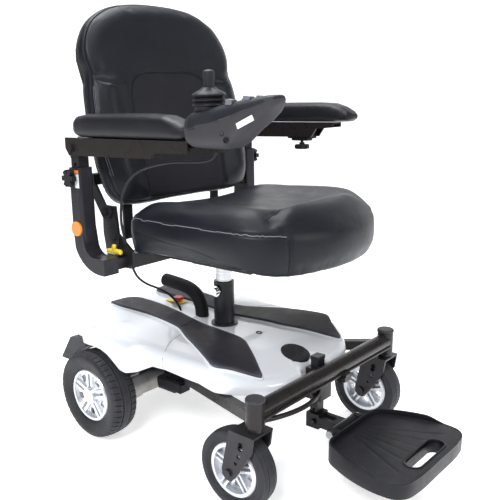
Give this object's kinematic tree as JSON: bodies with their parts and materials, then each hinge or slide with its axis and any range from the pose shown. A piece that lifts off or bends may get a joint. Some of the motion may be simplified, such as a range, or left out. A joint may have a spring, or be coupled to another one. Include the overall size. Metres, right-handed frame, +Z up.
{
  "type": "power wheelchair",
  "caption": "Compact travel power wheelchair with a swivelling padded seat, flip-up armrests, joystick control, drive wheels, front casters and a flip-up footplate.",
  "frame": {"origin": "centre of the footprint box on the floor", "axes": "+Z up, the sitter faces -Y, the sitter's right hand (joystick side) is -X"},
  "size_m": [0.676, 0.95, 1.0693],
  "materials": {
    "dark_paint": "satin",
    "cap_plastic": "satin",
    "shell_white": "gloss",
    "trim_charcoal": "grained",
    "battery_case": "matte",
    "cast_alloy": "cast",
    "grip_rubber": "matte",
    "black_paint": "satin",
    "bright_steel": "bright",
    "badge_black": "gloss",
    "label_yellow": "gloss",
    "knob_red": "satin",
    "cable_black": "satin",
    "tyre_rubber": "matte",
    "rim_silver": "satin",
    "foot_plastic": "grained",
    "brushed": "brushed",
    "vinyl": "satin",
    "pan_plastic": "grained",
    "lever_yellow": "satin",
    "charcoal_paint": "satin",
    "amber": "gloss",
    "knob_black": "satin",
    "pod_plastic": "grained",
    "stick_rubber": "matte",
    "button_plastic": "satin"
  },
  "bodies": {
    "chassis": {"front_frame": "dark_paint", "rear_frame": "dark_paint", "barrel_caps": "cap_plastic", "shroud": "shell_white", "trim_r": "trim_charcoal", "trim_l": "trim_charcoal", "rear_bumper": "trim_charcoal", "batteries": "battery_case", "controller": "battery_case", "gearmotor_r": "cast_alloy", "gearmotor_l": "cast_alloy", "lift_handle": "grip_rubber", "post_outer": "black_paint", "post_bolt": "bright_steel", "deck_badge": "badge_black", "knob_label": "label_yellow", "cable_base": "cable_black"},
    "release_knob": {"release_knob": "knob_red"},
    "wheel_r": {"tyre_r": "tyre_rubber", "rim_r": "rim_silver"},
    "wheel_l": {"tyre_l": "tyre_rubber", "rim_l": "rim_silver"},
    "fork_r": {"fork_r": "dark_paint"},
    "fork_l": {"fork_l": "dark_paint"},
    "caster_r": {"caster_tyre_r": "tyre_rubber", "caster_rim_r": "rim_silver"},
    "caster_l": {"caster_tyre_l": "tyre_rubber", "caster_rim_l": "rim_silver"},
    "antitip_r": {"antitip_wheel_r": "tyre_rubber"},
    "antitip_l": {"antitip_wheel_l": "tyre_rubber"},
    "foot_stem": {"foot_stem": "black_paint"},
    "footplate": {"footplate": "foot_plastic", "foot_pin": "bright_steel"},
    "post_inner": {"post_inner": "brushed"},
    "seat": {"seat_base": "black_paint", "seat_cushion": "vinyl", "cable_arm": "cable_black"},
    "back": {"back_frame": "pan_plastic", "back_cushion": "vinyl"},
    "recline_lever": {"recline_lever": "lever_yellow"},
    "arm_post_r": {"arm_post_r": "charcoal_paint", "reflector_r": "amber"},
    "arm_post_l": {"arm_post_l": "charcoal_paint", "reflector_l": "amber"},
    "arm_knob_r": {"arm_knob_r": "knob_black"},
    "arm_knob_l": {"arm_knob_l": "knob_black"},
    "arm_tube_r": {"arm_tube_r": "black_paint"},
    "arm_tube_l": {"arm_tube_l": "black_paint"},
    "arm_r": {"arm_bracket_r": "black_paint", "arm_pad_r": "vinyl", "pod": "pod_plastic"},
    "arm_l": {"arm_bracket_l": "black_paint", "arm_pad_l": "vinyl"},
    "clamp_knob": {"clamp_knob": "knob_black"},
    "stick": {"joystick": "stick_rubber", "boot": "stick_rubber"},
    "button_power": {"button_power": "button_plastic"},
    "button_horn": {"button_horn": "button_plastic"},
    "button_slower": {"button_slower": "button_plastic"},
    "button_faster": {"button_faster": "button_plastic"}
  },
  "joints": [
    {"name": "release_turn", "type": "hinge", "parent": "chassis", "child": "release_knob", "pos_m": [0.018, 0.295, 0.29], "axis": [0, 0, 1], "range_deg": [-90, 0]},
    {"name": "drive_r", "type": "hinge", "parent": "chassis", "child": "wheel_r", "pos_m": [-0.2525, 0.325, 0.114], "axis": [1, 0, 0], "continuous": true},
    {"name": "swivel_r", "type": "hinge", "parent": "chassis", "child": "fork_r", "pos_m": [-0.267, -0.201, 0.2], "axis": [0, 0, 1], "continuous": true},
    {"name": "caster_r", "type": "hinge", "parent": "fork_r", "child": "caster_r", "pos_m": [-0.267, -0.155, 0.089], "axis": [1, 0, 0], "continuous": true},
    {"name": "antitip_r", "type": "hinge", "parent": "chassis", "child": "antitip_r", "pos_m": [-0.104, 0.443, 0.047], "axis": [1, 0, 0], "continuous": true},
    {"name": "drive_l", "type": "hinge", "parent": "chassis", "child": "wheel_l", "pos_m": [0.2525, 0.325, 0.114], "axis": [1, 0, 0], "continuous": true},
    {"name": "swivel_l", "type": "hinge", "parent": "chassis", "child": "fork_l", "pos_m": [0.267, -0.201, 0.2], "axis": [0, 0, 1], "continuous": true},
    {"name": "caster_l", "type": "hinge", "parent": "fork_l", "child": "caster_l", "pos_m": [0.267, -0.155, 0.089], "axis": [1, 0, 0], "continuous": true},
    {"name": "antitip_l", "type": "hinge", "parent": "chassis", "child": "antitip_l", "pos_m": [0.104, 0.443, 0.047], "axis": [1, 0, 0], "continuous": true},
    {"name": "foot_height", "type": "slide", "parent": "chassis", "child": "foot_stem", "axis": [0, 0, 1], "range_m": [-0.014, 0.03]},
    {"name": "foot_flip", "type": "hinge", "parent": "foot_stem", "child": "footplate", "pos_m": [0, -0.247, 0.11], "axis": [-1, 0, 0], "range_deg": [0, 88]},
    {"name": "seat_height", "type": "slide", "parent": "chassis", "child": "post_inner", "axis": [0, 0, 1], "range_m": [-0.03, 0.06]},
    {"name": "seat_swivel", "type": "hinge", "parent": "post_inner", "child": "seat", "pos_m": [0, 0.11, 0.45], "axis": [0, 0, 1], "range_deg": [-90, 90], "deforming": ["cable_base", "cable_arm"]},
    {"name": "back_fold", "type": "hinge", "parent": "seat", "child": "back", "pos_m": [0, 0.252, 0.59], "axis": [1, 0, 0], "range_deg": [-12, 14]},
    {"name": "recline_pull", "type": "hinge", "parent": "seat", "child": "recline_lever", "pos_m": [-0.25, 0.22, 0.528], "axis": [1, 0, 0], "range_deg": [0, 10], "stiffness_Nm_per_rad": 1},
    {"name": "arm_width_r", "type": "slide", "parent": "seat", "child": "arm_post_r", "axis": [-1, 0, 0], "range_m": [0, 0.04]},
    {"name": "arm_height_r", "type": "slide", "parent": "arm_post_r", "child": "arm_tube_r", "axis": [0, 0, 1], "range_m": [-0.015, 0.05]},
    {"name": "arm_knob_r_turn", "type": "hinge", "parent": "arm_post_r", "child": "arm_knob_r", "pos_m": [-0.32, 0.279, 0.675], "axis": [1, 0, 0], "continuous": true},
    {"name": "arm_flip_r", "type": "hinge", "parent": "arm_tube_r", "child": "arm_r", "pos_m": [-0.296, 0.281, 0.74], "axis": [-1, 0, 0], "range_deg": [0, 90]},
    {"name": "arm_width_l", "type": "slide", "parent": "seat", "child": "arm_post_l", "axis": [1, 0, 0], "range_m": [0, 0.04]},
    {"name": "arm_height_l", "type": "slide", "parent": "arm_post_l", "child": "arm_tube_l", "axis": [0, 0, 1], "range_m": [-0.02, 0.045]},
    {"name": "arm_knob_l_turn", "type": "hinge", "parent": "arm_post_l", "child": "arm_knob_l", "pos_m": [0.32, 0.279, 0.675], "axis": [1, 0, 0], "continuous": true},
    {"name": "arm_flip_l", "type": "hinge", "parent": "arm_tube_l", "child": "arm_l", "pos_m": [0.296, 0.281, 0.748], "axis": [-1, 0, 0], "range_deg": [0, 90]},
    {"name": "clamp_turn", "type": "hinge", "parent": "arm_l", "child": "clamp_knob", "pos_m": [0.296, 0.082, 0.72], "axis": [0, 0, 1], "continuous": true},
    {"name": "stick_tilt", "type": "hinge", "parent": "arm_r", "child": "stick", "pos_m": [-0.3, -0.124, 0.806], "axis": [1, 0, 0], "range_deg": [-16, 16], "stiffness_Nm_per_rad": 0.4, "deforming": ["boot"]},
    {"name": "button_power_press", "type": "slide", "parent": "arm_r", "child": "button_power", "axis": [0, 0, -1], "range_m": [0, 0.0012], "stiffness_N_per_m": 600},
    {"name": "button_horn_press", "type": "slide", "parent": "arm_r", "child": "button_horn", "axis": [0, 0, -1], "range_m": [0, 0.0012], "stiffness_N_per_m": 600},
    {"name": "button_slower_press", "type": "slide", "parent": "arm_r", "child": "button_slower", "axis": [0, 0, -1], "range_m": [0, 0.0012], "stiffness_N_per_m": 600},
    {"name": "button_faster_press", "type": "slide", "parent": "arm_r", "child": "button_faster", "axis": [0, 0, -1], "range_m": [0, 0.0012], "stiffness_N_per_m": 600}
  ]
}
